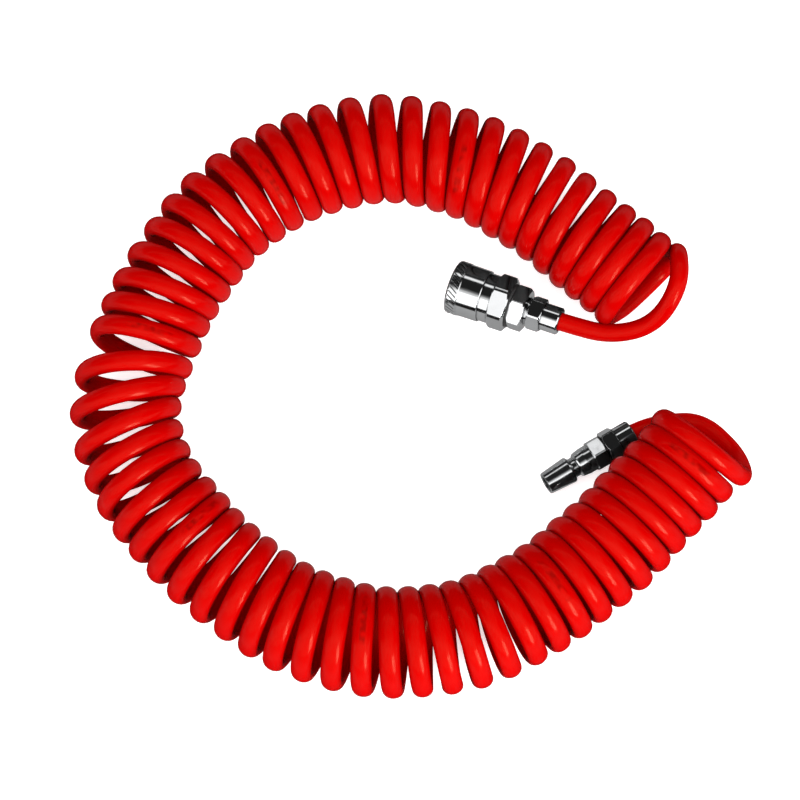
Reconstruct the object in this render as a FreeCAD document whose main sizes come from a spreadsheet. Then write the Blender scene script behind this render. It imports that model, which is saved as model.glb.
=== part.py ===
"""Recoil air hose: a red polyurethane hose wound into one long spring-like coil that lies in a C, with a
quick coupler (socket) on one tail and a quick plug on the other.

Millimetres, +Z up, origin under the middle of the whole object, on the surface that it lies on.
Each fitting is drawn about its own local Z axis, with Z = 0 at its open end and Z growing towards the hose.
"""
import FreeCAD, Part
import math
import os

import Sketcher

Vector = FreeCAD.Vector
doc = FreeCAD.newDocument("recoil_air_hose")

# ------------------------------------------------------------------ driving dimensions
DIMENSIONS = {
    # hose
    "hose_od": 8.0,
    "hose_id": 5.0,
    "coil_od": 48.0,
    "hose_grip": 0.05,           # how far the nut and the barb squeeze the hose wall
    # where the fittings lie: open end, heading and climb of each axis, and its height over the surface
    "coupler_x": 18.8,
    "coupler_y": 50.9,
    "coupler_z": 11.8,
    "coupler_heading": -21.4,
    "coupler_climb": 7.5,        # the hose holds the nut end up
    "coupler_roll": 23.0,
    "adapter_roll": 34.0,
    "coupler_nut_roll": 60.0,
    "plug_x": 58.6,
    "plug_y": -37.0,
    "plug_z": 7.75,
    "plug_heading": 31.0,
    "plug_climb": 0.0,
    "plug_roll": 44.0,
    "plug_nut_roll": 55.5,
    # coupler barrel
    "barrel_front": 0.4,
    "barrel_od": 17.0,
    "bore_dia": 12.2,
    "mouth_land_end": 7.0,
    "ball_bore_dia": 12.6,
    "bore_bevel": 0.6,
    "packing_seat": 14.2,
    "packing_seat_dia": 14.8,
    "packing_len": 3.2,
    "valve_seat": 19.4,
    "chamber_dia": 15.2,
    "skirt_front": 14.4,
    "skirt_od": 21.6,
    "skirt_id": 20.2,
    "skirt_floor": 18.4,
    "body_hex_front": 19.6,
    "body_hex_af": 22.0,
    "body_rear": 27.4,
    "body_thread_dia": 17.4,
    "body_thread_start": 22.4,
    "hex_round": 24.5,
    # snap ring in front of the sleeve
    "ring_front": 1.2,
    "ring_width": 0.8,
    "ring_id": 16.1,
    "ring_od": 18.2,
    "groove_dia": 16.0,
    "ring_opening": 35.0,
    # locking balls and the sleeve over them
    "ball_dia": 3.5,
    "ball_station": 9.0,
    "ball_radius_at": 6.75,
    "ball_hole_inner": 3.36,
    "ball_hole_outer": 3.62,
    "ramp_gap": 1.9,
    "ramp_rise": 0.275,
    "sleeve_od": 23.8,
    "sleeve_band_end": 5.3,
    "sleeve_waist_od": 23.3,
    "sleeve_rear_od": 23.0,
    "sleeve_len": 15.1,
    "sleeve_mouth_dia": 18.7,
    "lip_front": 2.1,
    "lip_rear": 3.1,
    "land_dia": 17.24,
    "spring_seat": 10.4,
    "sleeve_skirt_id": 21.8,
    "knurl_start": 1.1,
    "knurl_len": 3.9,
    "knurl_depth": 0.4,
    "knurl_width": 0.62,
    "knurl_slant": 32.0,
    "sleeve_wire": 0.8,
    "sleeve_spring_dia": 18.1,
    "sleeve_spring_turns": 4.0,
    # valve
    "poppet_front": 18.7,
    "poppet_boss_dia": 11.4,
    "oring_front": 19.5,
    "oring_seat_dia": 10.4,
    "oring_wire": 1.3,
    "oring_dia": 11.8,
    "flange_front": 20.85,
    "flange_rear": 22.1,
    "flange_dia": 15.0,
    "poppet_neck_dia": 10.4,
    "poppet_rear": 25.0,
    "poppet_recess_dia": 8.4,
    "poppet_recess_end": 24.2,
    "port_dia": 2.4,
    "port_station": 23.4,
    "notch_width": 4.0,
    "notch_depth": 1.6,
    "valve_wire": 0.7,
    "valve_spring_dia": 12.5,
    "valve_spring_turns": 5.0,
    # adapter behind the body
    "adapter_front": 22.7,
    "adapter_spigot_dia": 17.3,
    "adapter_flange": 28.2,
    "adapter_hex_af": 18.0,
    "adapter_round": 20.6,
    "adapter_hex_rear": 34.8,
    "valve_spring_seat": 31.0,
    "gasket_id": 17.5,
    "gasket_od": 19.4,
    "thread_dia": 11.9,
    "nut_gap": 1.5,
    "thread_len": 6.2,
    "barb_dia": 5.1,
    "barb_ridge_dia": 5.4,
    "barb_len": 7.0,
    "air_way": 3.6,
    # hose nut, the same on both fittings
    "nut_af": 13.7,
    "nut_round": 15.4,
    "nut_hex_len": 6.1,
    "nut_len": 13.9,
    "nut_collar_dia": 12.1,
    "nut_thread_len": 5.0,
    "nut_thread_dia": 12.0,
    # plug
    "nose_tip_dia": 10.0,
    "nose_bore": 8.0,
    "nose_bore_len": 11.0,
    "nose_shoulder_dia": 11.9,
    "nose_len": 11.8,
    "lock_groove_dia": 8.8,
    "lock_groove_front": 13.3,
    "lock_groove_rear": 15.2,
    "neck_dia": 11.0,
    "neck_station": 16.2,
    "waist_dia": 12.0,
    "waist_station": 19.6,
    "plug_hex_af": 13.0,
    "plug_round": 14.6,
    "plug_hex_front": 23.0,
    "plug_hex_rear": 29.4,
    "plug_nut_gap": 0.6,
}

dims = doc.addObject("Spreadsheet::Sheet", "dims")
for row, (alias, size) in enumerate(DIMENSIONS.items(), start=1):
    dims.set("A%d" % row, alias)
    dims.set("B%d" % row, str(size))
    dims.setAlias("B%d" % row, alias)
doc.recompute()


def size_of(expression):
    """The value, in mm or degrees, of an expression over the sheet's aliases."""
    value = dims.evalExpression(expression)
    return value.Value if hasattr(value, "Value") else float(value)


# ------------------------------------------------------------------ sketch and feature helpers
def draw_outline(sketch, corners):
    """Closed outline through (x, y) expression pairs, each corner bound to the sheet."""
    places = [Vector(size_of(x), size_of(y), 0) for x, y in corners]
    first = sketch.GeometryCount
    count = len(places)
    for index, place in enumerate(places):
        sketch.addGeometry(Part.LineSegment(place, places[(index + 1) % count]), False)
    for index in range(count):
        line, following = first + index, first + (index + 1) % count
        sketch.addConstraint(Sketcher.Constraint("Coincident", line, 2, following, 1))
    for index, (x, y) in enumerate(corners):
        line = first + index
        for kind, expression, axis in (("DistanceX", x, -2), ("DistanceY", y, -1)):
            if expression == "0":
                sketch.addConstraint(Sketcher.Constraint("PointOnObject", line, 1, axis))
            else:
                number = sketch.addConstraint(
                    Sketcher.Constraint(kind, -1, 1, line, 1, size_of(expression)))
                sketch.setExpression("Constraints[%d]" % number, expression)


def draw_circle(sketch, diameter):
    """Circle about the sketch's origin, its size bound to the sheet."""
    circle = sketch.addGeometry(
        Part.Circle(Vector(0, 0, 0), Vector(0, 0, 1), size_of(diameter) / 2), False)
    sketch.addConstraint(Sketcher.Constraint("Coincident", circle, 3, -1, 1))
    number = sketch.addConstraint(Sketcher.Constraint("Diameter", circle, size_of(diameter)))
    sketch.setExpression("Constraints[%d]" % number, diameter)


def plane_of(body, role):
    """One of the body's own origin planes or axes."""
    return next(feature for feature in body.Origin.OriginFeatures if feature.Role == role)


def new_sketch(body, name, plane, height=None):
    """Sketch on an origin plane, raised by an expression along the plane's normal."""
    sketch = body.newObject("Sketcher::SketchObject", name)
    sketch.AttachmentSupport = [(plane_of(body, plane), "")]
    sketch.MapMode = "FlatFace"
    if height is not None:
        sketch.setExpression("AttachmentOffset.Base.z", height)
    return sketch


def new_body(label):
    body = doc.addObject("PartDesign::Body", label)
    body.Label = label
    return body


def revolve(body, corners, angle=None):
    """Turned shape from (radius, station) expression pairs."""
    sketch = new_sketch(body, body.Name + "_profile", "XZ_Plane")
    draw_outline(sketch, corners)
    turned = body.newObject("PartDesign::Revolution", body.Name + "_turned")
    turned.Profile = sketch
    turned.ReferenceAxis = (sketch, ["V_Axis"])
    if angle is None:
        turned.Angle = 360
    else:
        turned.setExpression("Angle", angle)
    doc.recompute()
    return turned


def pocket(body, sketch, length, name):
    """Pocket that runs along +Z of its sketch, checked to remove material."""
    before = body.Shape.Volume
    cut = body.newObject("PartDesign::Pocket", name)
    cut.Profile = sketch
    cut.Reversed = True
    cut.setExpression("Length", length)
    doc.recompute()
    if not body.Shape.Volume < before:
        raise RuntimeError(name + " removed nothing")
    return cut


def hexagon_corners(across_flats):
    """Expression pairs of a hexagon with a flat facing +X."""
    half, short, long = (across_flats + " / 2", across_flats + " / 2 * tan(30 deg)",
                         across_flats + " / 2 / cos(30 deg)")
    return [(half, short), ("0", long), ("-" + half, short), ("-" + half, "-" + short),
            ("0", "-" + long), (half, "-" + short)]


def cut_hexagon(body, across_flats, start, end, name):
    """Cuts six flats on a turned blank between two stations."""
    sketch = new_sketch(body, name + "_outline", "XY_Plane", start)
    draw_outline(sketch, hexagon_corners(across_flats))
    draw_circle(sketch, "dims.body_hex_af * 2")
    return pocket(body, sketch, end + " - " + start, name)


def polar(body, feature, count, name):
    """Repeats a feature about the body's Z axis."""
    pattern = body.newObject("PartDesign::PolarPattern", name)
    pattern.Originals = [feature]
    pattern.Axis = (plane_of(body, "Z_Axis"), [""])
    pattern.Angle = 360
    pattern.Occurrences = count
    body.Tip = pattern
    doc.recompute()
    return pattern


def fitting_placement(which, roll=0.0):
    """Lays a fitting's local Z axis down at its heading and climb, rolled about that axis."""
    open_end = Vector(size_of("dims.%s_x" % which), size_of("dims.%s_y" % which),
                      size_of("dims.%s_z" % which))
    heading = FreeCAD.Rotation(Vector(0, 0, 1), size_of("dims.%s_heading" % which))
    lay_down = FreeCAD.Rotation(Vector(0, 1, 0), 90 - size_of("dims.%s_climb" % which))
    turn = FreeCAD.Rotation(Vector(0, 0, 1), 180 + roll)
    return FreeCAD.Placement(open_end, heading.multiply(lay_down).multiply(turn))


# ------------------------------------------------------------------ coupler pieces
BALL_ANGLES = (0.0, 90.0, 180.0, 270.0)
KNURL_COUNT = 36


def make_coupler_body():
    """Barrel with the ball holes, skirt round the sleeve spring, hexagon and threaded rear."""
    body = new_body("coupler_body")
    revolve(body, [
        ("dims.bore_dia / 2 + dims.bore_bevel", "dims.barrel_front"),
        ("dims.barrel_od / 2", "dims.barrel_front"),
        ("dims.barrel_od / 2", "dims.ring_front - 0.05"),
        ("dims.groove_dia / 2", "dims.ring_front - 0.05"),
        ("dims.groove_dia / 2", "dims.ring_front + dims.ring_width + 0.05"),
        ("dims.barrel_od / 2", "dims.ring_front + dims.ring_width + 0.05"),
        ("dims.barrel_od / 2", "dims.skirt_floor"),
        ("dims.skirt_id / 2", "dims.skirt_floor"),
        ("dims.skirt_id / 2", "dims.skirt_front"),
        ("dims.skirt_od / 2", "dims.skirt_front"),
        ("dims.skirt_od / 2", "dims.body_hex_front"),
        ("dims.body_hex_af / 2", "dims.body_hex_front"),
        ("dims.hex_round / 2", "dims.body_hex_front + 0.8"),
        ("dims.hex_round / 2", "dims.body_rear - 1.1"),
        ("dims.body_hex_af / 2 - 0.5", "dims.body_rear"),
        ("dims.body_thread_dia / 2", "dims.body_rear"),
        ("dims.body_thread_dia / 2", "dims.body_thread_start"),
        ("dims.chamber_dia / 2", "dims.body_thread_start"),
        ("dims.chamber_dia / 2", "dims.valve_seat + (dims.chamber_dia - dims.bore_dia) / 2"),
        ("dims.bore_dia / 2", "dims.valve_seat"),
        ("dims.bore_dia / 2", "dims.packing_seat + dims.packing_len"),
        ("dims.packing_seat_dia / 2", "dims.packing_seat + dims.packing_len"),
        ("dims.packing_seat_dia / 2", "dims.packing_seat"),
        ("dims.ball_bore_dia / 2", "dims.packing_seat"),
        ("dims.ball_bore_dia / 2", "dims.mouth_land_end + 0.2"),
        ("dims.bore_dia / 2", "dims.mouth_land_end"),
        ("dims.bore_dia / 2", "dims.barrel_front + dims.bore_bevel"),
    ])
    cut_hexagon(body, "dims.body_hex_af", "dims.body_hex_front", "dims.body_rear", "body_hexagon")
    hole_sketch = new_sketch(body, "ball_hole_profile", "XZ_Plane")
    draw_outline(hole_sketch, [
        ("dims.bore_dia / 2 - 0.6", "dims.ball_station"),
        ("dims.bore_dia / 2 - 0.6", "dims.ball_station + dims.ball_hole_inner / 2"),
        ("dims.bore_dia / 2", "dims.ball_station + dims.ball_hole_inner / 2"),
        ("dims.ball_radius_at", "dims.ball_station + dims.ball_hole_outer / 2"),
        ("dims.barrel_od / 2 + 0.6", "dims.ball_station + dims.ball_hole_outer / 2"),
        ("dims.barrel_od / 2 + 0.6", "dims.ball_station"),
    ])
    before = body.Shape.Volume
    hole = body.newObject("PartDesign::Groove", "ball_hole")
    hole.Profile = hole_sketch
    hole.ReferenceAxis = (hole_sketch, ["Edge6"])
    hole.Angle = 360
    doc.recompute()
    if not body.Shape.Volume < before:
        raise RuntimeError("the ball hole removed nothing")
    polar(body, hole, len(BALL_ANGLES), "ball_holes")
    return body


def make_sleeve():
    """Knurled release sleeve: lip behind the snap ring, ramp over the balls, spring seat, skirt."""
    body = new_body("coupler_sleeve")
    ramp_at_ball = "(dims.ball_radius_at + dims.ramp_gap)"
    revolve(body, [
        ("dims.sleeve_mouth_dia / 2", "0"),
        ("dims.sleeve_od / 2 - 1.2", "0"),
        ("dims.sleeve_od / 2 - 0.35", "0.35"),
        ("dims.sleeve_od / 2", "1"),
        ("dims.sleeve_od / 2", "dims.sleeve_band_end"),
        ("dims.sleeve_waist_od / 2", "dims.sleeve_band_end + 0.3"),
        ("dims.sleeve_rear_od / 2", "dims.sleeve_len - 0.3"),
        ("dims.sleeve_rear_od / 2 - 0.3", "dims.sleeve_len"),
        ("dims.sleeve_skirt_id / 2", "dims.sleeve_len"),
        ("dims.sleeve_skirt_id / 2", "dims.spring_seat"),
        ("dims.land_dia / 2", "dims.spring_seat"),
        ("dims.land_dia / 2",
         "dims.ball_station + (" + ramp_at_ball + " - dims.land_dia / 2) / dims.ramp_rise"),
        (ramp_at_ball + " + dims.ramp_rise * (dims.ball_station - dims.lip_rear)", "dims.lip_rear"),
        ("dims.land_dia / 2", "dims.lip_rear"),
        ("dims.land_dia / 2", "dims.lip_front"),
        ("dims.sleeve_mouth_dia / 2", "dims.lip_front"),
    ])
    sketch = new_sketch(body, "knurl_outline", "YZ_Plane", "dims.sleeve_od / 2 - dims.knurl_depth")
    across, along = "dims.knurl_width / 2", "dims.knurl_len / 2"
    shift = "dims.knurl_len / 2 * tan(dims.knurl_slant * 1 deg)"
    middle = "dims.knurl_start + dims.knurl_len / 2"
    draw_outline(sketch, [
        ("-" + shift + " - " + across, middle + " - " + along),
        ("-" + shift + " + " + across, middle + " - " + along),
        (shift + " + " + across, middle + " + " + along),
        (shift + " - " + across, middle + " + " + along),
    ])
    groove = pocket(body, sketch, "dims.knurl_depth * 3", "knurl_groove")
    polar(body, groove, KNURL_COUNT, "knurl")
    return body


def make_snap_ring():
    """Open wire ring in the barrel's groove that holds the sleeve on."""
    body = new_body("sleeve_snap_ring")
    revolve(body, [
        ("dims.ring_id / 2", "dims.ring_front"),
        ("dims.ring_od / 2", "dims.ring_front"),
        ("dims.ring_od / 2", "dims.ring_front + dims.ring_width"),
        ("dims.ring_id / 2", "dims.ring_front + dims.ring_width"),
    ], "360 - dims.ring_opening")
    return body


def make_packing():
    """Lip packing in the bore that seals on the plug's nose."""
    body = new_body("plug_packing")
    front, rear = "dims.packing_seat + 0.05", "dims.packing_seat + dims.packing_len - 0.05"
    revolve(body, [
        ("dims.packing_seat_dia / 2 - 0.05", front),
        ("dims.packing_seat_dia / 2 - 0.05", rear),
        ("dims.bore_dia / 2 - 0.3", rear),
        ("dims.bore_dia / 2 - 1", "dims.packing_seat + dims.packing_len * 0.6"),
        ("dims.bore_dia / 2 - 1", "dims.packing_seat + dims.packing_len * 0.4"),
        ("dims.bore_dia / 2 - 0.3", front),
    ])
    return body


def make_poppet():
    """Valve poppet: hollow front that the plug pushes, seat for its O-ring, notched guide flange."""
    body = new_body("valve_poppet")
    revolve(body, [
        ("dims.poppet_recess_dia / 2", "dims.poppet_front"),
        ("dims.poppet_boss_dia / 2", "dims.poppet_front"),
        ("dims.poppet_boss_dia / 2", "dims.oring_front"),
        ("dims.oring_seat_dia / 2", "dims.oring_front"),
        ("dims.oring_seat_dia / 2", "dims.flange_front"),
        ("dims.flange_dia / 2", "dims.flange_front"),
        ("dims.flange_dia / 2", "dims.flange_rear"),
        ("dims.poppet_neck_dia / 2", "dims.flange_rear"),
        ("dims.poppet_neck_dia / 2", "dims.poppet_rear"),
        ("0", "dims.poppet_rear"),
        ("0", "dims.poppet_recess_end"),
        ("dims.poppet_recess_dia / 2", "dims.poppet_recess_end"),
    ])
    port_sketch = new_sketch(body, "port_outline", "YZ_Plane")
    circle = port_sketch.addGeometry(
        Part.Circle(Vector(0, size_of("dims.port_station"), 0), Vector(0, 0, 1),
                    size_of("dims.port_dia") / 2), False)
    port_sketch.addConstraint(Sketcher.Constraint("PointOnObject", circle, 3, -2))
    for kind, expression, ends in (("DistanceY", "dims.port_station", (-1, 1, circle, 3)),
                                   ("Diameter", "dims.port_dia", (circle,))):
        number = port_sketch.addConstraint(
            Sketcher.Constraint(kind, *ends, size_of(expression)))
        port_sketch.setExpression("Constraints[%d]" % number, expression)
    port = pocket(body, port_sketch, "dims.poppet_neck_dia", "port")
    polar(body, port, 4, "ports")
    notch_sketch = new_sketch(body, "notch_outline", "XY_Plane", "dims.flange_front")
    inner, outer = "dims.flange_dia / 2 - dims.notch_depth", "dims.flange_dia / 2 + 1"
    half = "dims.notch_width / 2"
    draw_outline(notch_sketch, [(inner, "-" + half), (outer, "-" + half), (outer, half),
                                (inner, half)])
    notch = pocket(body, notch_sketch, "dims.flange_rear - dims.flange_front", "notch")
    polar(body, notch, 4, "notches")
    return body


def add_barb_profile(start):
    """Outer corners of the thread and the hose barb behind a hexagon, from a station expression."""
    thread_end = start + " + dims.thread_len"
    tip = thread_end + " + dims.barb_len"
    return [
        ("dims.thread_dia / 2", start),
        ("dims.thread_dia / 2", thread_end + " - 1"),
        ("dims.barb_dia / 2", thread_end),
        ("dims.barb_dia / 2", tip + " - 2.4"),
        ("dims.barb_ridge_dia / 2", tip + " - 2.4"),
        ("dims.barb_dia / 2 - 0.25", tip),
        ("dims.air_way / 2", tip),
    ]


def make_adapter():
    """Adapter: spigot that screws into the body and seats the valve spring, hexagon, thread, barb."""
    body = new_body("coupler_adapter")
    revolve(body, [
        ("dims.chamber_dia / 2", "dims.adapter_front"),
        ("dims.adapter_spigot_dia / 2", "dims.adapter_front"),
        ("dims.adapter_spigot_dia / 2", "dims.adapter_flange"),
        ("dims.adapter_round / 2 - 0.9", "dims.adapter_flange"),
        ("dims.adapter_round / 2", "dims.adapter_flange + 0.9"),
        ("dims.adapter_round / 2", "dims.adapter_hex_rear - 0.9"),
        ("dims.adapter_round / 2 - 1.4", "dims.adapter_hex_rear"),
    ] + add_barb_profile("dims.adapter_hex_rear") + [
        ("dims.air_way / 2", "dims.valve_spring_seat"),
        ("dims.chamber_dia / 2", "dims.valve_spring_seat"),
    ])
    cut_hexagon(body, "dims.adapter_hex_af", "dims.adapter_flange", "dims.adapter_hex_rear",
                "adapter_hexagon")
    return body


def make_gasket():
    """Flat ring between the body's rear face and the adapter's flange."""
    body = new_body("adapter_gasket")
    revolve(body, [
        ("dims.gasket_id / 2", "dims.body_rear"),
        ("dims.gasket_od / 2", "dims.body_rear"),
        ("dims.gasket_od / 2", "dims.adapter_flange"),
        ("dims.gasket_id / 2", "dims.adapter_flange"),
    ])
    return body


def make_hose_nut(label, front):
    """Hexagon nut with a long round collar that squeezes the hose onto its barb."""
    body = new_body(label)
    hex_end = front + " + dims.nut_hex_len"
    rear = front + " + dims.nut_len"
    thread_end = front + " + dims.nut_thread_len"
    squeeze = "dims.hose_od / 2 - dims.hose_grip"
    revolve(body, [
        ("dims.nut_thread_dia / 2 + 0.3", front),
        ("dims.nut_af / 2 - 0.1", front),
        ("dims.nut_round / 2", front + " + 0.6"),
        ("dims.nut_round / 2", hex_end + " - 0.6"),
        ("dims.nut_af / 2 - 0.1", hex_end),
        ("dims.nut_collar_dia / 2", hex_end),
        ("dims.nut_collar_dia / 2", rear + " - 0.5"),
        ("dims.nut_collar_dia / 2 - 0.5", rear),
        (squeeze + " + 0.5", rear),
        (squeeze, rear + " - 0.5"),
        (squeeze, thread_end + " + 1.5"),
        ("dims.nut_thread_dia / 2", thread_end),
        ("dims.nut_thread_dia / 2", front + " + 0.3"),
    ])
    cut_hexagon(body, "dims.nut_af", front, hex_end, label + "_hexagon")
    return body


def make_plug():
    """Quick plug: tapered nose with an open bore, lock groove, waist, hexagon, thread and barb."""
    body = new_body("plug_body")
    revolve(body, [
        ("dims.nose_bore / 2 + 0.35", "0"),
        ("dims.nose_tip_dia / 2 - 0.3", "0"),
        ("dims.nose_tip_dia / 2", "0.3"),
        ("dims.nose_shoulder_dia / 2", "dims.nose_len"),
        ("dims.nose_shoulder_dia / 2 - 0.25", "dims.nose_len + 0.7"),
        ("dims.lock_groove_dia / 2", "dims.lock_groove_front"),
        ("dims.lock_groove_dia / 2", "dims.lock_groove_rear"),
        ("dims.neck_dia / 2 - 0.4", "dims.lock_groove_rear + 0.5"),
        ("dims.neck_dia / 2", "dims.neck_station"),
        ("dims.waist_dia / 2 - 0.25", "(dims.neck_station + dims.waist_station) / 2"),
        ("dims.waist_dia / 2", "dims.waist_station"),
        ("dims.waist_dia / 2", "dims.plug_hex_front"),
        ("dims.plug_round / 2", "dims.plug_hex_front + 0.5"),
        ("dims.plug_round / 2", "dims.plug_hex_rear - 0.5"),
        ("dims.plug_hex_af / 2 - 0.3", "dims.plug_hex_rear"),
    ] + add_barb_profile("dims.plug_hex_rear") + [
        ("dims.air_way / 2", "dims.nose_bore_len + 2.2"),
        ("dims.nose_bore / 2", "dims.nose_bore_len"),
        ("dims.nose_bore / 2", "0.35"),
    ])
    cut_hexagon(body, "dims.plug_hex_af", "dims.plug_hex_front", "dims.plug_hex_rear",
                "plug_hexagon")
    return body


def make_spring(label, start, end, diameter, wire, turns):
    """Round-wire compression spring between two stations."""
    helix = doc.addObject("Part::Helix", label + "_path")
    free = "(%s - %s - %s - 0.1)" % (end, start, wire)
    helix.setExpression("Pitch", free + " / " + turns)
    helix.setExpression("Height", free)
    helix.setExpression("Radius", diameter + " / 2")
    helix.SegmentLength = 0.5
    circle = doc.addObject("Part::Circle", label + "_section")
    circle.setExpression("Radius", wire + " / 2")
    circle.Placement = FreeCAD.Placement(Vector(size_of(diameter) / 2, 0, 0),
                                         FreeCAD.Rotation(Vector(1, 0, 0), 90))
    doc.recompute()
    sweep = doc.addObject("Part::Sweep", label)
    sweep.Sections = [circle]
    sweep.Spine = (helix, ["Edge%d" % (index + 1) for index in range(len(helix.Shape.Edges))])
    sweep.Solid = True
    sweep.Frenet = True
    sweep.Label = label
    doc.recompute()
    lift = size_of("%s + %s / 2 + 0.05" % (start, wire))
    return sweep, lift


# ------------------------------------------------------------------ hose solids
def cord_path(route):
    """Wire of straight runs joined by tangent arcs, each as large as its two runs allow."""
    points = [Vector(*point) for point in route]
    edges, radii = [], []
    last = points[0]
    for before, corner, after in zip(points, points[1:], points[2:]):
        arriving, leaving = (corner - before), (after - corner)
        half_turn = arriving.getAngle(leaving) / 2
        setback = 0.45 * min(arriving.Length, leaving.Length)
        radii.append(setback / math.tan(half_turn))
        arriving.normalize()
        leaving.normalize()
        enter, leave = corner - arriving * setback, corner + leaving * setback
        inward = (leaving - arriving).normalize()
        reach = radii[-1] / math.cos(half_turn) - radii[-1]
        edges.append(Part.LineSegment(last, enter).toShape())
        edges.append(Part.Arc(enter, corner + inward * reach, leave).toShape())
        last = leave
    edges.append(Part.LineSegment(last, points[-1]).toShape())
    return Part.Wire(edges), radii


def make_tube(label, route, diameter):
    """Round tube swept along a route, its volume compared with section times length."""
    wire, radii = cord_path(route)
    path = doc.addObject("Part::Feature", label + "_path")
    path.Shape = wire
    heading = Vector(*route[1]) - Vector(*route[0])
    section = doc.addObject("Part::Circle", label + "_section")
    section.setExpression("Radius", diameter + " / 2")
    section.Placement = FreeCAD.Placement(
        Vector(*route[0]), FreeCAD.Rotation(Vector(0, 0, 1), heading))
    doc.recompute()
    sweep = doc.addObject("Part::Sweep", label)
    sweep.Sections = [section]
    sweep.Spine = (path, ["Edge%d" % (index + 1) for index in range(len(wire.Edges))])
    sweep.Solid = True
    sweep.Frenet = False
    sweep.Label = label
    doc.recompute()
    expected = math.pi * size_of(diameter + " / 2") ** 2 * wire.Length
    ratio = sweep.Shape.Volume / expected
    print("%s: length %.1f mm, radii %s, volume ratio %.4f" % (
        label, wire.Length, " ".join("%.0f" % radius for radius in radii), ratio))
    if abs(ratio - 1) > 0.01:
        raise RuntimeError(label + " isn't its section times its length")
    return sweep


def on_fitting(which, station):
    """Route point on a fitting's axis, some way behind its open end."""
    heading, climb = (math.radians(size_of("dims.%s_%s" % (which, angle))) for angle in ("heading", "climb"))
    return (size_of("dims.%s_x" % which) + station * math.cos(heading) * math.cos(climb),
            size_of("dims.%s_y" % which) + station * math.sin(heading) * math.cos(climb),
            size_of("dims.%s_z" % which) + station * math.sin(climb))


def drill_for_barb(tube, label, which, start):
    """Blind hole in the hose end for its barb."""
    drill = doc.addObject("Part::Cylinder", label + "_drill")
    drill.setExpression("Radius", "dims.hose_id / 2")
    drill.Height = size_of("dims.barb_len + 1")
    drill.Placement = fitting_placement(which)
    drill.Placement.Base = Vector(*on_fitting(which, start - 0.5))
    tube.Label = label + "_solid"
    cut = doc.addObject("Part::Cut", label + "_drilled")
    cut.Base = tube
    cut.Tool = drill
    cut.Label = label
    doc.recompute()
    return cut


COIL_AXIS = [(99.5, 48), (80.5, 65), (38.5, 99), (-13.5, 114), (-67.5, 94), (-99.5, 59), (-125.5, -3),
             (-115.5, -42), (-72.5, -88), (-26.5, -111), (27.5, -109), (74.5, -79), (110.5, -41),
             (127.5, -21)]
COUPLER_TAIL = [(87, 26, 20), (106, 30, 23), (116, 43, 40), (116, 62, 34), (115, 64.5, 4.2),
                (94.5, 44.5, 4.2), (84.5, 35, 11)]
PLUG_TAIL = [(109.5, -9, 4.2), (126.5, -8, 4.2), (140.5, -21.5, 4.2), (143.5, -33, 16), (141.5, -37, 30)]


def make_hose():
    """The coil's outer shape and the two tails that run from it into the nuts."""
    middle = size_of("dims.coil_od / 2")
    coil = make_tube("hose_coil", [(x, y, middle) for x, y in COIL_AXIS], "dims.coil_od")
    coupler_end = size_of("dims.adapter_hex_rear + dims.thread_len")
    plug_end = size_of("dims.plug_hex_rear + dims.thread_len")
    coupler_start = [on_fitting("coupler", coupler_end), on_fitting("coupler", coupler_end + 12)]
    plug_start = [on_fitting("plug", plug_end), on_fitting("plug", plug_end + 10)]
    tube = make_tube("hose_tail_coupler", coupler_start + COUPLER_TAIL, "dims.hose_od")
    coupler_tail = drill_for_barb(tube, "hose_tail_coupler", "coupler", coupler_end)
    tube = make_tube("hose_tail_plug", plug_start + PLUG_TAIL, "dims.hose_od")
    plug_tail = drill_for_barb(tube, "hose_tail_plug", "plug", plug_end)
    return [coil, coupler_tail, plug_tail]


# ------------------------------------------------------------------ assembly
def make_balls(placement):
    """Four locking balls in the barrel's holes."""
    balls = []
    for number, angle in enumerate(BALL_ANGLES, start=1):
        ball = doc.addObject("Part::Sphere", "locking_ball_%d" % number)
        ball.setExpression("Radius", "dims.ball_dia / 2")
        turn = math.radians(angle)
        reach = size_of("dims.ball_radius_at")
        local = Vector(reach * math.cos(turn), reach * math.sin(turn), size_of("dims.ball_station"))
        ball.Placement = FreeCAD.Placement(placement.multVec(local), placement.Rotation)
        balls.append(ball)
    return balls


def make_oring(placement):
    """O-ring on the poppet that closes the valve seat."""
    ring = doc.addObject("Part::Torus", "poppet_oring")
    ring.setExpression("Radius1", "dims.oring_dia / 2")
    ring.setExpression("Radius2", "dims.oring_wire / 2")
    centre = Vector(0, 0, size_of("dims.oring_front + dims.oring_wire / 2 + 0.01"))
    ring.Placement = FreeCAD.Placement(placement.multVec(centre), placement.Rotation)
    return ring


def lay(pieces, placement):
    for piece in pieces:
        piece.Placement = placement
    return pieces


coupler_at = fitting_placement("coupler", size_of("dims.coupler_roll"))
plug_at = fitting_placement("plug", size_of("dims.plug_roll"))
nut_front = "dims.adapter_hex_rear + dims.nut_gap"
plug_nut_front = "dims.plug_hex_rear + dims.plug_nut_gap"

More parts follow.
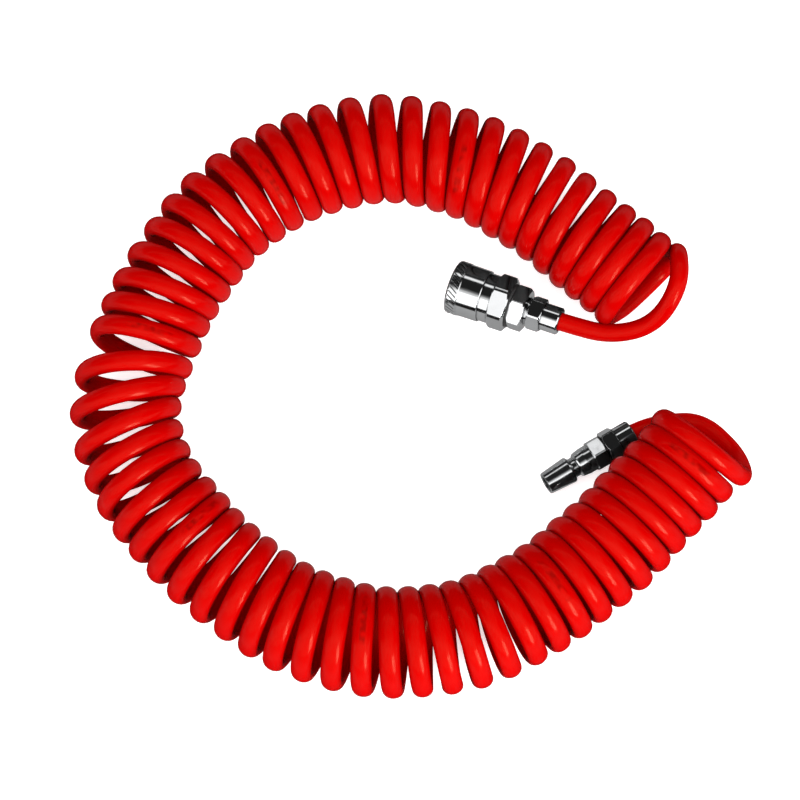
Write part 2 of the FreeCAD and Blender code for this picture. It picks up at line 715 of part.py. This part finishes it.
pieces = make_hose()
pieces += lay([make_coupler_body(), make_sleeve(), make_snap_ring(), make_packing(), make_poppet(),
               make_gasket()], coupler_at)
pieces += lay([make_adapter()], fitting_placement("coupler", size_of("dims.adapter_roll")))
pieces += make_balls(coupler_at)
pieces.append(make_oring(coupler_at))
for label, start, end, diameter, wire, turns in (
        ("sleeve_spring", "dims.spring_seat", "dims.skirt_floor", "dims.sleeve_spring_dia",
         "dims.sleeve_wire", "dims.sleeve_spring_turns"),
        ("valve_spring", "dims.flange_rear", "dims.valve_spring_seat", "dims.valve_spring_dia",
         "dims.valve_wire", "dims.valve_spring_turns")):
    spring, lift = make_spring(label, start, end, diameter, wire, turns)
    spring.Placement = FreeCAD.Placement(coupler_at.multVec(Vector(0, 0, lift)), coupler_at.Rotation)
    pieces.append(spring)
pieces += lay([make_hose_nut("coupler_hose_nut", nut_front)],
              fitting_placement("coupler", size_of("dims.coupler_nut_roll")))
pieces += lay([make_plug()], plug_at)
pieces += lay([make_hose_nut("plug_hose_nut", plug_nut_front)],
              fitting_placement("plug", size_of("dims.plug_nut_roll")))
doc.recompute()

for item in doc.Objects:
    if "Invalid" in item.State or "Error" in item.State:
        raise RuntimeError("%s failed: %s" % (item.Name, item.State))
for piece in pieces:
    if piece.Shape.isNull() or not piece.Shape.isValid():
        raise RuntimeError("%s has no valid shape" % piece.Label)

os.makedirs("parts", exist_ok=True)
whole = FreeCAD.BoundBox()
for piece in pieces:
    piece.Shape.exportStep("parts/%s.step" % piece.Label)
    box = piece.Shape.optimalBoundingBox()
    whole.add(box)
    print("%-20s solids %d  volume %9.1f mm3  z %.2f..%.2f" % (
        piece.Label, len(piece.Shape.Solids), piece.Shape.Volume, box.ZMin, box.ZMax))
print("box x %.2f..%.2f  y %.2f..%.2f  z %.2f..%.2f" % (
    whole.XMin, whole.XMax, whole.YMin, whole.YMax, whole.ZMin, whole.ZMax))
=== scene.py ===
"""Looks for the recoil air hose: its wound hose, its plated fittings, the floor, the lights and the camera.

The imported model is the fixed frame. Positions are in metres in its frame: +Z up, the floor at Z = 0.
"""
import math

import bpy
import numpy as np
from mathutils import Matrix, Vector


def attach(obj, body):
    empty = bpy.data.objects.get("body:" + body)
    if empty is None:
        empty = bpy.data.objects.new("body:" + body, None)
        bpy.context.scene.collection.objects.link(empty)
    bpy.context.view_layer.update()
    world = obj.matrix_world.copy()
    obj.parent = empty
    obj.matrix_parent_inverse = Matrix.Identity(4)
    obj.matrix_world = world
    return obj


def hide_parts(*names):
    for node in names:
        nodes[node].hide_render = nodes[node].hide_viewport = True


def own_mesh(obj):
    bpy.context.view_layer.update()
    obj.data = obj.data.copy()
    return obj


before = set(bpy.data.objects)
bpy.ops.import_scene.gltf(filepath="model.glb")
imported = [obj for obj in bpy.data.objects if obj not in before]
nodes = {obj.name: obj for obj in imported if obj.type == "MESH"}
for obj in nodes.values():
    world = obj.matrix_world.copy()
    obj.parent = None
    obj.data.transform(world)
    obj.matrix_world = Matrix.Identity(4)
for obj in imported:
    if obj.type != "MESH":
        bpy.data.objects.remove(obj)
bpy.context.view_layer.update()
MM = 0.001

# ------------------------------------------------------------------ the hose's route, as in the CAD, in mm
FITTINGS = {"coupler": (18.8, 50.9, 11.8, -21.4, 7.5), "plug": (58.6, -37.0, 7.75, 31.0, 0.0)}
COIL_AXIS = [(99.5, 48), (80.5, 65), (38.5, 99), (-13.5, 114), (-67.5, 94), (-99.5, 59), (-125.5, -3),
             (-115.5, -42), (-72.5, -88), (-26.5, -111), (27.5, -109), (74.5, -79), (110.5, -41),
             (127.5, -21)]
COUPLER_TAIL = [(87, 26, 20), (106, 30, 23), (116, 43, 40), (116, 62, 34), (115, 64.5, 4.2),
                (94.5, 44.5, 4.2)]
PLUG_TAIL = [(109.5, -9, 4.2), (126.5, -8, 4.2), (140.5, -21.5, 4.2), (143.5, -33, 14)]
HOSE_DIAMETER = 8.0
COIL_DIAMETER = 48.0

# ------------------------------------------------------------------ how the turns lie
TURNS = 58                    # from the first strand over the top to the last
TURN_STEPS = 60               # points along each turn
FLAT_RADIUS = 3.5             # half the wound hose's thickness, across the coil's wall
WIDE_RADIUS = (46, 50), (4.52, 4.65)   # half its width along the coil's axis: at these turns, these mm
UNEVENNESS = 0.22, 0.15       # how far the winding strays from its radius, slowly and quickly
PACKED_OFFSET = 20.0          # the turns are evenly spaced this far inside the axis
FIRST_TOP, LAST_TOP = 4.1, 634.0   # where the first and last strands cross the axis, along it
# (turn, mm): how far the turns have crept along the axis, and how much further on each turn's outer
# end lies than its inner end
CREEP = [(0, 0), (3, -0.5), (4, 1), (5.5, 2), (10, 0.4), (12.5, -1.8), (15, -2.4), (21, -4.1), (23, -1.9),
         (24, -1.2), (25, -2.2), (26, 4.1), (28, 5.3), (29, 2), (30, 0.5), (33, 0), (37, 3), (43, 0.8),
         (48, -2.8), (52, -2.7), (57, -0.5), (58, -0.7)]
LEAN = [(-1, -2), (2, 0), (4, 2.8), (6, 4.2), (10, 4.2), (12, 0.2), (15, -1.5), (20, -3.5), (22.5, -1),
        (24, 3.2), (25, -0.4), (26, 8.4), (27, 11.5), (28, 10), (29, 3.6), (30, 1.6), (31, 0.3), (32, -2),
        (36, 2), (41, 0), (46, -2), (50, -3), (57, -2.8), (58, -1.4)]
# (turn, mm): how far along the axis the top of each turn leans, and its foot
TIP_OVER = [(0, -2.6), (2, -2.2), (4, -0.8), (9, -1), (10.5, 0.6), (18, 0.8), (24, 2.2), (25, 2.4), (26, 1.2),
            (27, 2.8), (28, 3), (30, 0.6), (31.5, 2.2), (37, 1.5), (42, 0.3), (50, 0.4), (53, -1), (57, -2.8),
            (58, -3.6)]
FOOT_OVER = [(0, 2.6), (2, 2.2), (4, 0.8), (9, 1), (10.5, -0.6), (18, -0.8), (24, -2.2), (25, -2.4),
             (26, -2.2), (28, -3), (30, -0.6), (31.5, -2.2), (37, -1.5), (42, -0.7), (44, -1.9), (52, -1.9),
             (54, -0.9), (58, 0)]


def on_fitting(which, station):
    """Route point on a fitting's axis, some way behind its open end."""
    x, y, z, heading, climb = FITTINGS[which]
    turn, rise = math.radians(heading), math.radians(climb)
    reach = station * math.cos(rise)
    return (x + reach * math.cos(turn), y + reach * math.sin(turn), z + station * math.sin(rise))


def route_line(name, route, steps):
    """Points along the smooth spline over a route."""
    data = bpy.data.curves.new(name, "CURVE")
    data.dimensions = "3D"
    spline = data.splines.new("NURBS")
    spline.points.add(len(route) - 1)
    for point, place in zip(spline.points, route):
        point.co = (*(c * MM for c in place), 1.0)
    spline.order_u = 3
    spline.use_endpoint_u = True
    spline.resolution_u = steps
    holder = bpy.data.objects.new(name, data)
    mesh = bpy.data.meshes.new_from_object(holder)
    line = np.array([vertex.co for vertex in mesh.vertices], float) / MM
    bpy.data.objects.remove(holder)
    bpy.data.curves.remove(data)
    bpy.data.meshes.remove(mesh)
    return line


def lengths(line):
    """Distance along a line at each of its points."""
    return np.concatenate([[0], np.cumsum(np.linalg.norm(np.diff(line, axis=0), axis=1))])


def spaced(line, step):
    """The same line with evenly spaced points."""
    along = lengths(line)
    places = np.linspace(0, along[-1], int(round(along[-1] / step)) + 1)
    return np.stack([np.interp(places, along, line[:, axis]) for axis in range(3)], 1)


def softened(values, width):
    """Moving average that keeps the ends."""
    kernel = np.hanning(width)
    padded = np.pad(values, (width // 2, width // 2), mode="edge")
    return np.convolve(padded, kernel / kernel.sum(), "valid")


def unit(vectors):
    return vectors / np.linalg.norm(vectors, axis=-1, keepdims=True)


def from_list(pairs, turns):
    """Smooth curve through (turn, value) pairs."""
    where, value = zip(*pairs)
    fine = np.linspace(-1, TURNS + 1, (TURNS + 2) * 20 + 1)
    return np.interp(turns, fine, softened(np.interp(fine, where, value), 31))


AXIS_STEP = 0.5
axis_line = spaced(route_line("coil_axis", [(x, y, COIL_DIAMETER / 2) for x, y in COIL_AXIS], 64),
                   AXIS_STEP)
axis_at = lengths(axis_line)
axis_heading = softened(np.unwrap(np.arctan2(*np.gradient(axis_line, axis=0)[:, [1, 0]].T)), 61)
axis_bend = np.gradient(axis_heading, axis_at)


def coil_points(turns):
    """Centre of the wound hose, and the coil's axis beside it, at turn counts from the first top strand."""
    packed = np.concatenate([[0], np.cumsum((1 - PACKED_OFFSET * axis_bend)[1:] * np.diff(axis_at))])
    first, last = np.interp([FIRST_TOP, LAST_TOP], axis_at, packed)
    share = first + (last - first) * np.asarray(turns) / TURNS
    beyond = np.clip(share - packed[-1], 0, None) + np.clip(share - packed[0], None, 0)
    along = np.interp(share, packed, axis_at) + beyond + from_list(CREEP, turns)
    past = np.clip(along - axis_at[-1], 0, None) + np.clip(along, None, 0)
    heading = np.interp(along, axis_at, axis_heading)
    forward = np.stack([np.cos(heading), np.sin(heading), np.zeros_like(heading)], -1)
    outward = np.stack([np.sin(heading), -np.cos(heading), np.zeros_like(heading)], -1)
    centre = np.stack([np.interp(along, axis_at, axis_line[:, k]) for k in range(3)], -1)
    centre += forward * past[..., None]
    angle = 2 * np.pi * np.asarray(turns) + 1.5 * np.pi
    slow, quick = UNEVENNESS
    wobble = slow * np.sin(1.7 * np.asarray(turns)) + quick * np.sin(5.3 * np.asarray(turns) + 1)
    radius = (COIL_DIAMETER / 2 - FLAT_RADIUS) * np.ones_like(angle) + wobble * np.cos(angle) - 0.05
    up = -np.sin(angle)
    lean = (from_list(LEAN, turns) * np.cos(angle) / 2 + from_list(TIP_OVER, turns) * np.clip(up, 0, 1)
            + from_list(FOOT_OVER, turns) * np.clip(-up, 0, 1))
    point = centre + forward * lean[..., None] + radius[..., None] * (
        outward * np.cos(angle)[..., None] - np.array([0, 0, 1.0]) * np.sin(angle)[..., None])
    return point, centre + forward * lean[..., None]


COIL_START, COIL_END = -0.33, 58.2
JOIN_REACH = 9.0
coil_turns = np.linspace(COIL_START, COIL_END, int((COIL_END - COIL_START) * TURN_STEPS))
coil_line, coil_centre = coil_points(coil_turns)
start_way, end_way = unit(coil_line[1] - coil_line[0]), unit(coil_line[-1] - coil_line[-2])
first_tail = spaced(route_line("coupler_tail_route", [
    on_fitting("coupler", 41), on_fitting("coupler", 53), *COUPLER_TAIL,
    tuple(coil_line[0] - start_way * JOIN_REACH), tuple(coil_line[0])], 24), 1.5)
last_tail = spaced(route_line("plug_tail_route", [
    on_fitting("plug", 35.6), on_fitting("plug", 45.6), *PLUG_TAIL,
    tuple(coil_line[-1] + end_way * JOIN_REACH), tuple(coil_line[-1])], 24), 1.5)[::-1]
hose_line = np.vstack([first_tail[:-1], coil_line, last_tail[1:]])


def carried(vector, directions):
    """A crosswise vector carried along a line without twist, one for each direction after the first."""
    rows = []
    for direction in directions:
        vector = vector - direction * (vector @ direction)
        vector = vector / np.linalg.norm(vector)
        rows.append(vector)
    return rows


def hose_frames():
    """Directions along, across the coil's wall and along the coil's axis at every point of the hose."""
    forward = unit(np.gradient(hose_line, axis=0))
    before, count = len(first_tail) - 1, len(coil_line)
    radial = coil_line - coil_centre
    middle = [r - t * (r @ t) for r, t in zip(radial, forward[before:before + count])]
    middle = unit(np.array(middle))
    head = carried(middle[0], forward[:before][::-1])[::-1]
    tail = carried(middle[-1], forward[before + count:])
    across = np.vstack([head, middle, tail])
    return forward, across, np.cross(forward, across)


# mm along the hose from the coupler: the first faint worn print, and how often it comes back
PRINT_FIRST, PRINT_EVERY, PRINT_COUNT = 1355.0, 1035.0, 7
# mm: how far before the wound part the hose starts to flatten and over what run, and how far past its
# end it is round again
FLATTEN_BEFORE, FLATTEN_OVER = 60, 45
ROUND_PAST, ROUND_OVER = 45, 100


def make_hose(sides=22):
    """Mesh tube along the hose, oval where it is wound and round towards the fittings.

    Its map "hose_print" holds the distance to the nearest print in metres, and the share of a turn
    round the hose from its outer side.
    """
    forward, thin, wide = hose_frames()
    along = lengths(hose_line)
    wound_from, wound_to = along[len(first_tail)], along[-len(last_tail)]
    wound = np.clip(np.minimum((along - wound_from + FLATTEN_BEFORE) / FLATTEN_OVER,
                               (wound_to + ROUND_PAST - along) / ROUND_OVER), 0, 1)
    wound = wound * wound * (3 - 2 * wound)
    thin_radius = HOSE_DIAMETER / 2 + (FLAT_RADIUS - HOSE_DIAMETER / 2) * wound
    at_turn = np.interp(along, along[len(first_tail) - 1:-len(last_tail) + 1], coil_turns)
    widest = np.interp(at_turn, *WIDE_RADIUS)
    wide_radius = HOSE_DIAMETER / 2 + (widest - HOSE_DIAMETER / 2) * wound
    turn = 2 * np.pi * np.arange(sides) / sides
    rings = (hose_line[:, None] + thin[:, None] * (thin_radius[:, None] * np.cos(turn))[..., None]
             + wide[:, None] * (wide_radius[:, None] * np.sin(turn))[..., None])
    count = len(rings)
    vertices = rings.reshape(-1, 3) * MM
    ring, side = np.meshgrid(np.arange(count - 1), np.arange(sides), indexing="ij")
    after = (side + 1) % sides
    quads = np.stack([ring * sides + side, ring * sides + after, (ring + 1) * sides + after,
                      (ring + 1) * sides + side], -1).reshape(-1, 4)
    caps = [list(range(sides))[::-1], [(count - 1) * sides + k for k in range(sides)]]
    mesh = bpy.data.meshes.new("hose")
    mesh.from_pydata(vertices.tolist(), [], quads.tolist() + caps)
    layer = mesh.uv_layers.new(name="hose_print")
    around = np.stack([side, side + 1, side + 1, side], -1) / sides - (side >= sides // 2)[..., None]
    around = around.reshape(-1)
    prints = PRINT_FIRST + PRINT_EVERY * np.arange(PRINT_COUNT)
    print_run = np.abs(along[:, None] - prints).min(1)
    run = print_run[np.stack([ring, ring, ring + 1, ring + 1], -1)].reshape(-1) * MM
    uv = np.zeros((len(mesh.loops), 2), np.float32)
    uv[:len(run), 0], uv[:len(run), 1] = run, around
    layer.data.foreach_set("uv", uv.ravel())
    mesh.polygons.foreach_set("use_smooth", [True] * len(quads) + [False, False])
    mesh.update()
    hose = bpy.data.objects.new("hose_tube", mesh)
    bpy.context.scene.collection.objects.link(hose)
    return hose, along[-1]


# ------------------------------------------------------------------ materials
PRINT_ENDS = 0.0085, 0.0105   # m from a print's middle to where it fades and ends
PRINT_SIDES = 0.035, 0.055    # shares of a turn round the hose, likewise


def node_tree(name):
    material = bpy.data.materials.new(name)
    material.use_nodes = True
    tree = material.node_tree
    return material, tree, tree.nodes["Principled BSDF"]


def noise(tree, scale, detail=4.0):
    node = tree.nodes.new("ShaderNodeTexNoise")
    node.inputs["Scale"].default_value = scale
    node.inputs["Detail"].default_value = detail
    node.inputs["Roughness"].default_value = 0.55
    tree.links.new(tree.nodes.new("ShaderNodeTexCoord").outputs["Object"], node.inputs["Vector"])
    return node.outputs["Fac"]


def span(tree, value, low, high, to_low, to_high):
    """A value's run from low to high, made to run between two others."""
    node = tree.nodes.new("ShaderNodeMapRange")
    for key, number in (("From Min", low), ("From Max", high), ("To Min", to_low), ("To Max", to_high)):
        node.inputs[key].default_value = number
    tree.links.new(value, node.inputs["Value"])
    return node.outputs["Result"]


def mixed(tree, share, first, second):
    """Colour between two others, each of them a plain colour or another node's output."""
    node = tree.nodes.new("ShaderNodeMix")
    node.data_type = "RGBA"
    tree.links.new(share, node.inputs[0])
    for socket, colour in ((node.inputs[6], first), (node.inputs[7], second)):
        if isinstance(colour, tuple):
            socket.default_value = (*colour, 1)
        else:
            tree.links.new(colour, socket)
    return node.outputs[2]


def product(tree, first, second):
    node = tree.nodes.new("ShaderNodeMath")
    node.operation = "MULTIPLY"
    tree.links.new(first, node.inputs[0])
    tree.links.new(second, node.inputs[1])
    return node.outputs[0]


def size_of(tree, value):
    node = tree.nodes.new("ShaderNodeMath")
    node.operation = "ABSOLUTE"
    tree.links.new(value, node.inputs[0])
    return node.outputs[0]


def red_hose_material():
    material, tree, shader = node_tree("red_polyurethane")
    shade = span(tree, noise(tree, 22), 0.3, 0.7, 0, 1)
    plain = mixed(tree, shade, (0.37, 0.0, 0.0), (0.41, 0.0, 0.0))
    layer = tree.nodes.new("ShaderNodeUVMap")
    layer.uv_map = "hose_print"
    split = tree.nodes.new("ShaderNodeSeparateXYZ")
    tree.links.new(layer.outputs["UV"], split.inputs[0])
    near = span(tree, split.outputs["X"], *PRINT_ENDS, 1, 0)
    beside = span(tree, size_of(tree, split.outputs["Y"]), *PRINT_SIDES, 1, 0)
    specks = span(tree, noise(tree, 400, 0), 0.3, 0.7, 0, 0.55)
    tree.links.new(mixed(tree, product(tree, product(tree, near, beside), specks), plain, (0.1, 0.0, 0.0)),
                   shader.inputs["Base Color"])
    tree.links.new(span(tree, noise(tree, 160, 3), 0.3, 0.7, 0.12, 0.2), shader.inputs["Roughness"])
    shader.inputs["IOR"].default_value = 1.2
    shader.inputs["Specular IOR Level"].default_value = 1.0
    shader.inputs["Specular Tint"].default_value = (1.0, 0.5, 0.3, 1)
    bump = tree.nodes.new("ShaderNodeBump")
    bump.inputs["Strength"].default_value = 0.08
    bump.inputs["Distance"].default_value = 0.0004
    tree.links.new(noise(tree, 420, 2), bump.inputs["Height"])
    tree.links.new(bump.outputs["Normal"], shader.inputs["Normal"])
    return material


def metal_material(name, colour, low, high, scale=260.0, bump_strength=0.04):
    """Metal of a roughness between low and high, with painted shade that darkens its colour to near black in
    narrow crevices and between parts, and soft edges.
    """
    material, tree, shader = node_tree(name)
    shader.inputs["Metallic"].default_value = 1.0
    shade = span(tree, noise(tree, scale * 0.4), 0.3, 0.7, 0, 1)
    plating = mixed(tree, shade, tuple(c * 0.93 for c in colour), colour)
    # painted shade: where ambient occlusion finds other surfaces close by, in crevices and between parts, the
    # colour is mixed towards near black
    painted_crevice_shade = tree.nodes.new("ShaderNodeAmbientOcclusion")
    painted_crevice_shade.samples = 6
    painted_crevice_shade.inputs["Distance"].default_value = 0.0011
    unshaded_share = span(tree, painted_crevice_shade.outputs["AO"], 0.45, 0.95, 0, 1)
    tree.links.new(mixed(tree, unshaded_share, tuple(c * 0.06 for c in colour), plating),
                   shader.inputs["Base Color"])
    tree.links.new(span(tree, noise(tree, scale), 0.35, 0.75, low, high), shader.inputs["Roughness"])
    bevel = tree.nodes.new("ShaderNodeBevel")
    bevel.samples = 4
    bevel.inputs["Radius"].default_value = 0.00025
    bump = tree.nodes.new("ShaderNodeBump")
    bump.inputs["Strength"].default_value = bump_strength
    bump.inputs["Distance"].default_value = 0.0002
    tree.links.new(noise(tree, scale * 1.6, 3), bump.inputs["Height"])
    tree.links.new(bevel.outputs["Normal"], bump.inputs["Normal"])
    tree.links.new(bump.outputs["Normal"], shader.inputs["Normal"])
    return material


def rubber_material():
    material, tree, shader = node_tree("black_rubber")
    shade = span(tree, noise(tree, 300), 0.3, 0.7, 0, 1)
    tree.links.new(mixed(tree, shade, (0.012, 0.012, 0.012), (0.03, 0.03, 0.03)),
                   shader.inputs["Base Color"])
    tree.links.new(span(tree, noise(tree, 700), 0.3, 0.7, 0.45, 0.7), shader.inputs["Roughness"])
    return material


chrome = metal_material("chrome_plate", (0.86, 0.87, 0.88), 0.04, 0.12)
plug_steel = metal_material("bright_steel", (0.8, 0.81, 0.82), 0.08, 0.2, 340.0, 0.08)
FINISH = {
    "coupler_body": chrome, "coupler_sleeve": chrome, "coupler_adapter": chrome, "coupler_hose_nut": chrome,
    "plug_hose_nut": chrome, "plug_body": plug_steel,
    "valve_poppet": metal_material("valve_brass", (0.83, 0.62, 0.28), 0.15, 0.3),
    "plug_packing": rubber_material(),
}
FINISH["poppet_oring"] = FINISH["adapter_gasket"] = FINISH["plug_packing"]
spring_steel = metal_material("spring_steel", (0.6, 0.61, 0.63), 0.2, 0.35)
ball_steel = metal_material("ball_steel", (0.85, 0.85, 0.86), 0.03, 0.08)
for name in ("sleeve_snap_ring", "sleeve_spring", "valve_spring"):
    FINISH[name] = spring_steel
for number in range(1, 5):
    FINISH["locking_ball_%d" % number] = ball_steel
for name, material in FINISH.items():
    data = nodes[name].data
    data.materials.clear()
    data.materials.append(material)

hose, hose_length = make_hose()
hose.data.materials.append(red_hose_material())
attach(hose, "hose")
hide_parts("hose_coil", "hose_tail_coupler", "hose_tail_plug")

# the two springs, whose coils close up as the sleeve and the poppet move back: the spring, its joint, its
# moving and fixed ends behind the coupler's open end, and the travel, in mm; here each spring only gets a
# mesh of its own
SPRINGS = [("sleeve_spring", "sleeve_slide", 10.4, 18.4, 4.0),
           ("valve_spring", "poppet_slide", 22.1, 31.0, 4.4)]
for name, joint, front, rear, travel in SPRINGS:
    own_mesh(nodes[name])

# ------------------------------------------------------------------ floor, light, camera
# (degrees round the X axis, 0 overhead and 90 in front; brightness): what the fittings reflect
STUDIO = [(-180, 0.3), (-96, 0.3), (-90, 0.03), (-50, 0.02), (-46, 1.0), (-40, 1.0), (-36, 0.015), (2, 0.015),
          (10, 0.2), (20, 1.0), (30, 1.45), (78, 1.45), (83, 0.06), (86, 0.06), (90, 0.42), (180, 0.3)]
CAMERA_AIM = (-4.36, -3.89, 24)   # mm
CAMERA_DISTANCE = 1.7
CAMERA_ELEVATION = 75             # degrees above the floor
RING_RADII = 0.085, 0.185
RING_SIDES = 48
# colour of the painted reflections: the dark copy of the hose and the dark ring under the coil
PAINTED_REFLECTION_GREY = (0.02, 0.02, 0.02)


def make_floor():
    mesh = bpy.data.meshes.new("floor")
    half = 3.0
    mesh.from_pydata([(-half, -half, 0), (half, -half, 0), (half, half, 0), (-half, half, 0)], [],
                     [(0, 1, 2, 3)])
    floor = bpy.data.objects.new("floor", mesh)
    bpy.context.scene.collection.objects.link(floor)
    material, tree, shader = node_tree("floor_paper")
    shade = span(tree, noise(tree, 3), 0.3, 0.7, 0, 1)
    tree.links.new(mixed(tree, shade, (0.9, 0.9, 0.9), (0.92, 0.92, 0.92)), shader.inputs["Base Color"])
    shader.inputs["Roughness"].default_value = 0.9
    shader.inputs["Specular IOR Level"].default_value = 0.0
    shader.inputs["Emission Color"].default_value = (1, 1, 1, 1)
    shader.inputs["Emission Strength"].default_value = 0.6
    mesh.materials.append(material)
    floor.location.z = -0.0001
    floor.visible_glossy = False


def make_world():
    """Dim studio with a wide bright bank in front and a thin strip behind, plain and pale to the camera."""
    world = bpy.data.worlds.new("studio")
    bpy.context.scene.world = world
    world.use_nodes = True
    tree = world.node_tree
    back = tree.nodes["Background"]
    place = tree.nodes.new("ShaderNodeTexCoord").outputs["Generated"]
    split = tree.nodes.new("ShaderNodeSeparateXYZ")
    tree.links.new(place, split.inputs[0])
    swing = tree.nodes.new("ShaderNodeMath")
    swing.operation = "ARCTAN2"
    flip = tree.nodes.new("ShaderNodeMath")
    flip.operation = "MULTIPLY"
    flip.inputs[1].default_value = -1
    tree.links.new(split.outputs["Y"], flip.inputs[0])
    tree.links.new(flip.outputs[0], swing.inputs[0])
    tree.links.new(split.outputs["Z"], swing.inputs[1])
    ramp = tree.nodes.new("ShaderNodeValToRGB")
    tree.links.new(span(tree, swing.outputs[0], -math.pi, math.pi, 0, 1), ramp.inputs["Fac"])
    ramp.color_ramp.elements.remove(ramp.color_ramp.elements[0])
    for index, (angle, value) in enumerate(STUDIO):
        at = (angle + 180) / 360
        if index == 0:
            element = ramp.color_ramp.elements[0]
            element.position = at
        else:
            element = ramp.color_ramp.elements.new(at)
        element.color = (value, value, value, 1)
    tree.links.new(ramp.outputs["Color"], back.inputs["Color"])
    back.inputs["Strength"].default_value = 1.0
    plain = tree.nodes.new("ShaderNodeBackground")
    plain.inputs["Color"].default_value = (0.9, 0.9, 0.9, 1)
    rays = tree.nodes.new("ShaderNodeLightPath")
    choose = tree.nodes.new("ShaderNodeMixShader")
    tree.links.new(rays.outputs["Is Camera Ray"], choose.inputs["Fac"])
    tree.links.new(back.outputs[0], choose.inputs[1])
    tree.links.new(plain.outputs[0], choose.inputs[2])
    tree.links.new(choose.outputs[0], tree.nodes["World Output"].inputs["Surface"])


def make_light(name, place, aim, size, power, mirrored=True):
    data = bpy.data.lights.new(name, "AREA")
    data.shape = "RECTANGLE"
    data.size, data.size_y = size
    data.energy = power
    light = bpy.data.objects.new(name, data)
    light.location = place
    light.rotation_euler = (Vector(place) - Vector(aim)).to_track_quat("Z", "Y").to_euler()
    light.visible_camera = False
    light.visible_glossy = mirrored
    bpy.context.scene.collection.objects.link(light)


def make_camera():
    elevation = math.radians(CAMERA_ELEVATION)
    camera = bpy.data.objects.new("camera", bpy.data.cameras.new("camera"))
    camera.location = (Vector(CAMERA_AIM) * MM
                       + CAMERA_DISTANCE * Vector((0, -math.cos(elevation), math.sin(elevation))))
    camera.rotation_euler = (math.radians(90) - elevation, 0, 0)
    camera.data.sensor_width = 36.0
    camera.data.lens = 177.9
    camera.data.clip_end = 50
    bpy.context.scene.collection.objects.link(camera)
    bpy.context.scene.camera = camera


def only_reflected(thing, name, colour):
    """Make a stage object that is seen in reflections and nowhere else, its colour a painted reflection."""
    material, tree, shader = node_tree(name)
    shader.inputs["Base Color"].default_value = (*colour, 1)
    shader.inputs["Roughness"].default_value = 0.8
    thing.material_slots[0].link = "OBJECT"
    thing.material_slots[0].material = material
    thing.visible_camera = thing.visible_diffuse = thing.visible_shadow = False
    thing.visible_transmission = thing.visible_volume_scatter = False


def make_painted_reflections():
    """Painted reflections: a dark grey copy of the hose that the plated fittings reflect in place of the red
    hose, and a dark grey ring below whose reflection darkens the hose's own edges.
    """
    # painted reflection: the fittings see this dark grey copy of the hose instead of the red hose
    reflected_twin = bpy.data.objects.new("hose_painted_reflection", hose.data)
    bpy.context.scene.collection.objects.link(reflected_twin)
    hose.visible_glossy = False
    only_reflected(reflected_twin, "hose_reflection_paint", PAINTED_REFLECTION_GREY)
    # painted reflection: a dark grey ring on the floor under the coil, seen only in reflections, darkens the
    # hose's edges
    turn = 2 * np.pi * np.arange(RING_SIDES + 1) / RING_SIDES
    circle = np.stack([np.cos(turn), np.sin(turn), 0 * turn], -1)
    centre = np.array([0, 0, -0.0002])
    inner, outer = RING_RADII
    mesh = bpy.data.meshes.new("ring_painted_reflection")
    mesh.from_pydata((centre + circle * inner).tolist() + (centre + circle * outer).tolist(), [],
                     [(k, k + 1, k + RING_SIDES + 2, k + RING_SIDES + 1) for k in range(RING_SIDES)])
    mesh.materials.append(hose.data.materials[0])
    ring = bpy.data.objects.new("ring_painted_reflection", mesh)
    bpy.context.scene.collection.objects.link(ring)
    only_reflected(ring, "ring_reflection_paint", PAINTED_REFLECTION_GREY)


make_painted_reflections()
make_floor()
make_world()
make_light("key", place=(0.75, -1.2, 0.62), aim=(0, 0, 0), size=(0.5, 0.9), power=18)
make_light("fill", place=(0, 0, 1.9), aim=(0, 0, 0), size=(3.0, 3.0), power=58, mirrored=False)
make_camera()
bpy.context.scene.view_settings.view_transform = "Standard"
